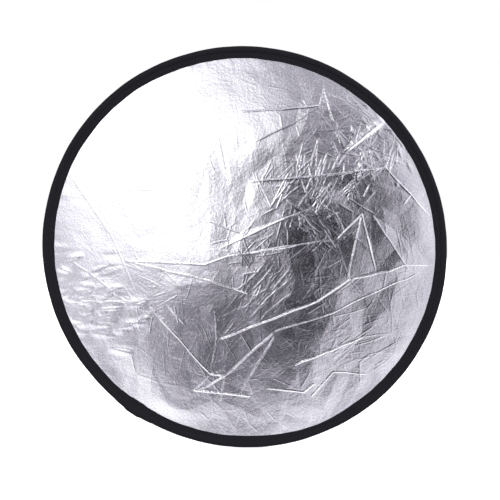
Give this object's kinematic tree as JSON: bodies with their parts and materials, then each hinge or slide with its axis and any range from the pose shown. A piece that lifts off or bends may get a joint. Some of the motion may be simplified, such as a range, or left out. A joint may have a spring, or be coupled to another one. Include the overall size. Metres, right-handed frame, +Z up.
{
  "type": "collapsible reflector disc",
  "caption": "Round photographic light reflector: silver cloth and white cloth stretched in a sprung steel hoop with a folded black tape edge; the hoop curls up into small loops.",
  "frame": {"origin": "centre of the disc, halfway through its thickness", "axes": "-Y out of the silver face, +Y out of the white back, +Z up as the disc is held upright, +X to the right as the silver face is seen"},
  "size_m": [0.5998, 0.0082, 0.5998],
  "materials": {
    "spring_steel": "satin spring steel",
    "sleeve_steel": "formed sheet",
    "binding_tape": "woven polyester tape",
    "silver_fabric": "crinkled silver laminate on woven cloth",
    "white_fabric": "plain woven nylon"
  },
  "bodies": {
    "foot_sector": {"steel_band_03": "spring_steel", "binding_tape_03": "binding_tape", "front_fabric": "silver_fabric", "back_fabric": "white_fabric"},
    "rim_sector_01": {"steel_band_01": "spring_steel", "binding_tape_01": "binding_tape", "splice_sleeve": "sleeve_steel", "binding_lap": "binding_tape"},
    "rim_sector_02": {"steel_band_02": "spring_steel", "binding_tape_02": "binding_tape"},
    "rim_sector_04": {"steel_band_04": "spring_steel", "binding_tape_04": "binding_tape"},
    "rim_sector_05": {"steel_band_05": "spring_steel", "binding_tape_05": "binding_tape"},
    "rim_sector_06": {"steel_band_06": "spring_steel", "binding_tape_06": "binding_tape"},
    "rim_sector_07": {"steel_band_07": "spring_steel", "binding_tape_07": "binding_tape"},
    "rim_sector_08": {"steel_band_08": "spring_steel", "binding_tape_08": "binding_tape"},
    "rim_sector_09": {"steel_band_09": "spring_steel", "binding_tape_09": "binding_tape"},
    "rim_sector_10": {"steel_band_10": "spring_steel", "binding_tape_10": "binding_tape"},
    "rim_sector_11": {"steel_band_11": "spring_steel", "binding_tape_11": "binding_tape"},
    "rim_sector_12": {"steel_band_12": "spring_steel", "binding_tape_12": "binding_tape"},
    "rim_sector_13": {"steel_band_13": "spring_steel", "binding_tape_13": "binding_tape"},
    "rim_sector_14": {"steel_band_14": "spring_steel", "binding_tape_14": "binding_tape"},
    "rim_sector_15": {"steel_band_15": "spring_steel", "binding_tape_15": "binding_tape"},
    "rim_sector_16": {"steel_band_16": "spring_steel", "binding_tape_16": "binding_tape"},
    "rim_sector_17": {"steel_band_17": "spring_steel", "binding_tape_17": "binding_tape"},
    "rim_sector_18": {"steel_band_18": "spring_steel", "binding_tape_18": "binding_tape"},
    "rim_sector_19": {"steel_band_19": "spring_steel", "binding_tape_19": "binding_tape"},
    "rim_sector_20": {"steel_band_20": "spring_steel", "binding_tape_20": "binding_tape"},
    "rim_sector_21": {"steel_band_21": "spring_steel", "binding_tape_21": "binding_tape"},
    "rim_sector_22": {"steel_band_22": "spring_steel", "binding_tape_22": "binding_tape"},
    "rim_sector_23": {"steel_band_23": "spring_steel", "binding_tape_23": "binding_tape"},
    "rim_sector_24": {"steel_band_24": "spring_steel", "binding_tape_24": "binding_tape"}
  },
  "joints": [
    {"name": "rim_fold", "type": "hinge", "parent": "foot_sector", "child": "rim_sector_04", "pos_m": [0.02561, 0, -0.29274], "axis": [-0.0199, -0.9998, -0.0017], "range_deg": [0, 30], "stiffness_Nm_per_rad": 0.354, "springref_deg": -15, "deforming": ["front_fabric", "back_fabric", "binding_tape_03", "binding_tape_04"]},
    {"name": "rim_bend_04_05", "type": "hinge", "parent": "rim_sector_04", "child": "rim_sector_05", "pos_m": [0.10054, 0, -0.27624], "axis": [-0.0188, -0.9998, -0.0068], "range_deg": [0, 30], "stiffness_Nm_per_rad": 0.354, "springref_deg": -15, "deforming": ["binding_tape_05"]},
    {"name": "rim_bend_05_06", "type": "hinge", "parent": "rim_sector_05", "child": "rim_sector_06", "pos_m": [0.16867, 0, -0.24089], "axis": [-0.0164, -0.9998, -0.0115], "range_deg": [0, 30], "stiffness_Nm_per_rad": 0.354, "springref_deg": -15, "deforming": ["binding_tape_06"]},
    {"name": "rim_bend_06_07", "type": "hinge", "parent": "rim_sector_06", "child": "rim_sector_07", "pos_m": [0.22535, 0, -0.18909], "axis": [-0.0128, -0.9998, -0.0153], "range_deg": [0, 30], "stiffness_Nm_per_rad": 0.354, "springref_deg": -15, "deforming": ["binding_tape_07"]},
    {"name": "rim_bend_07_08", "type": "hinge", "parent": "rim_sector_07", "child": "rim_sector_08", "pos_m": [0.26671, 0, -0.12437], "axis": [-0.0084, -0.9998, -0.0181], "range_deg": [0, 30], "stiffness_Nm_per_rad": 0.354, "springref_deg": -15, "deforming": ["binding_tape_08"]},
    {"name": "rim_bend_08_09", "type": "hinge", "parent": "rim_sector_08", "child": "rim_sector_09", "pos_m": [0.28991, 0, -0.05112], "axis": [-0.0035, -0.9998, -0.0197], "range_deg": [0, 30], "stiffness_Nm_per_rad": 0.354, "springref_deg": -15, "deforming": ["binding_tape_09"]},
    {"name": "rim_bend_09_10", "type": "hinge", "parent": "rim_sector_09", "child": "rim_sector_10", "pos_m": [0.29337, 0, 0.02567], "axis": [0.0017, -0.9998, -0.0199], "range_deg": [0, 30], "stiffness_Nm_per_rad": 0.354, "springref_deg": -15, "deforming": ["binding_tape_10"]},
    {"name": "rim_bend_10_11", "type": "hinge", "parent": "rim_sector_10", "child": "rim_sector_11", "pos_m": [0.27683, 0, 0.10076], "axis": [0.0068, -0.9998, -0.0188], "range_deg": [0, 30], "stiffness_Nm_per_rad": 0.354, "springref_deg": -15, "deforming": ["binding_tape_11"]},
    {"name": "rim_bend_11_12", "type": "hinge", "parent": "rim_sector_11", "child": "rim_sector_12", "pos_m": [0.2414, 0, 0.16903], "axis": [0.0115, -0.9998, -0.0164], "range_deg": [0, 30], "stiffness_Nm_per_rad": 0.354, "springref_deg": -15, "deforming": ["binding_tape_12"]},
    {"name": "rim_bend_12_13", "type": "hinge", "parent": "rim_sector_12", "child": "rim_sector_13", "pos_m": [0.18949, 0, 0.22583], "axis": [0.0153, -0.9998, -0.0128], "range_deg": [0, 30], "stiffness_Nm_per_rad": 0.354, "springref_deg": -15, "deforming": ["binding_tape_13"]},
    {"name": "rim_bend_13_14", "type": "hinge", "parent": "rim_sector_13", "child": "rim_sector_14", "pos_m": [0.12463, 0, 0.26727], "axis": [0.0181, -0.9998, -0.0084], "range_deg": [0, 30], "stiffness_Nm_per_rad": 0.354, "springref_deg": -15, "deforming": ["binding_tape_14"]},
    {"name": "rim_bend_14_15", "type": "hinge", "parent": "rim_sector_14", "child": "rim_sector_15", "pos_m": [0.05123, 0, 0.29053], "axis": [0.0197, -0.9998, -0.0035], "range_deg": [0, 30], "stiffness_Nm_per_rad": 0.354, "springref_deg": -15, "deforming": ["binding_tape_15"]},
    {"name": "rim_bend_15_16", "type": "hinge", "parent": "rim_sector_15", "child": "rim_sector_16", "pos_m": [-0.02572, 0, 0.29399], "axis": [0.0199, -0.9998, 0.0017], "range_deg": [0, 30], "stiffness_Nm_per_rad": 0.354, "springref_deg": -15, "deforming": ["binding_tape_16"]},
    {"name": "rim_bend_16_17", "type": "hinge", "parent": "rim_sector_16", "child": "rim_sector_17", "pos_m": [-0.10097, 0, 0.27741], "axis": [0.0188, -0.9998, 0.0068], "range_deg": [0, 30], "stiffness_Nm_per_rad": 0.354, "springref_deg": -15, "deforming": ["binding_tape_17"]},
    {"name": "rim_bend_17_18", "type": "hinge", "parent": "rim_sector_17", "child": "rim_sector_18", "pos_m": [-0.16939, 0, 0.24191], "axis": [0.0164, -0.9998, 0.0115], "range_deg": [0, 30], "stiffness_Nm_per_rad": 0.354, "springref_deg": -15, "deforming": ["binding_tape_18"]},
    {"name": "rim_bend_18_19", "type": "hinge", "parent": "rim_sector_18", "child": "rim_sector_19", "pos_m": [-0.22631, 0, 0.1899], "axis": [0.0128, -0.9998, 0.0153], "range_deg": [0, 30], "stiffness_Nm_per_rad": 0.354, "springref_deg": -15, "deforming": ["binding_tape_19"]},
    {"name": "rim_bend_19_20", "type": "hinge", "parent": "rim_sector_19", "child": "rim_sector_20", "pos_m": [-0.26784, 0, 0.1249], "axis": [0.0084, -0.9998, 0.0181], "range_deg": [0, 30], "stiffness_Nm_per_rad": 0.354, "springref_deg": -15, "deforming": ["binding_tape_20"]},
    {"name": "rim_bend_20_21", "type": "hinge", "parent": "rim_sector_20", "child": "rim_sector_21", "pos_m": [-0.29114, 0, 0.05134], "axis": [0.0035, -0.9998, 0.0197], "range_deg": [0, 30], "stiffness_Nm_per_rad": 0.354, "springref_deg": -15, "deforming": ["binding_tape_21"]},
    {"name": "rim_bend_21_22", "type": "hinge", "parent": "rim_sector_21", "child": "rim_sector_22", "pos_m": [-0.29461, 0, -0.02577], "axis": [-0.0017, -0.9998, 0.0199], "range_deg": [0, 30], "stiffness_Nm_per_rad": 0.354, "springref_deg": -15, "deforming": ["binding_tape_22"]},
    {"name": "rim_bend_22_23", "type": "hinge", "parent": "rim_sector_22", "child": "rim_sector_23", "pos_m": [-0.278, 0, -0.10118], "axis": [-0.0068, -0.9998, 0.0188], "range_deg": [0, 30], "stiffness_Nm_per_rad": 0.354, "springref_deg": -15, "deforming": ["binding_tape_23"]},
    {"name": "rim_bend_23_24", "type": "hinge", "parent": "rim_sector_23", "child": "rim_sector_24", "pos_m": [-0.24243, 0, -0.16975], "axis": [-0.0115, -0.9998, 0.0164], "range_deg": [0, 30], "stiffness_Nm_per_rad": 0.354, "springref_deg": -15, "deforming": ["binding_tape_24"]},
    {"name": "rim_bend_03_02", "type": "hinge", "parent": "foot_sector", "child": "rim_sector_02", "pos_m": [-0.05101, 0, -0.2893], "axis": [0.0197, 0.9998, -0.0035], "range_deg": [0, 30], "stiffness_Nm_per_rad": 0.354, "springref_deg": -15, "deforming": ["binding_tape_02"]},
    {"name": "rim_bend_02_01", "type": "hinge", "parent": "rim_sector_02", "child": "rim_sector_01", "pos_m": [-0.1241, 0, -0.26614], "axis": [0.0181, 0.9998, -0.0084], "range_deg": [0, 30], "stiffness_Nm_per_rad": 0.354, "springref_deg": -15, "deforming": ["binding_tape_01", "binding_lap"]}
  ],
  "couplings": [
    {"joint": "rim_bend_04_05", "follows": "rim_fold", "ratio": 1},
    {"joint": "rim_bend_05_06", "follows": "rim_fold", "ratio": 1},
    {"joint": "rim_bend_06_07", "follows": "rim_fold", "ratio": 1},
    {"joint": "rim_bend_07_08", "follows": "rim_fold", "ratio": 1},
    {"joint": "rim_bend_08_09", "follows": "rim_fold", "ratio": 1},
    {"joint": "rim_bend_09_10", "follows": "rim_fold", "ratio": 1},
    {"joint": "rim_bend_10_11", "follows": "rim_fold", "ratio": 1},
    {"joint": "rim_bend_11_12", "follows": "rim_fold", "ratio": 1},
    {"joint": "rim_bend_12_13", "follows": "rim_fold", "ratio": 1},
    {"joint": "rim_bend_13_14", "follows": "rim_fold", "ratio": 1},
    {"joint": "rim_bend_14_15", "follows": "rim_fold", "ratio": 1},
    {"joint": "rim_bend_15_16", "follows": "rim_fold", "ratio": 1},
    {"joint": "rim_bend_16_17", "follows": "rim_fold", "ratio": 1},
    {"joint": "rim_bend_17_18", "follows": "rim_fold", "ratio": 1},
    {"joint": "rim_bend_18_19", "follows": "rim_fold", "ratio": 1},
    {"joint": "rim_bend_19_20", "follows": "rim_fold", "ratio": 1},
    {"joint": "rim_bend_20_21", "follows": "rim_fold", "ratio": 1},
    {"joint": "rim_bend_21_22", "follows": "rim_fold", "ratio": 1},
    {"joint": "rim_bend_22_23", "follows": "rim_fold", "ratio": 1},
    {"joint": "rim_bend_23_24", "follows": "rim_fold", "ratio": 1},
    {"joint": "rim_bend_03_02", "follows": "rim_fold", "ratio": 1},
    {"joint": "rim_bend_02_01", "follows": "rim_fold", "ratio": 1}
  ]
}
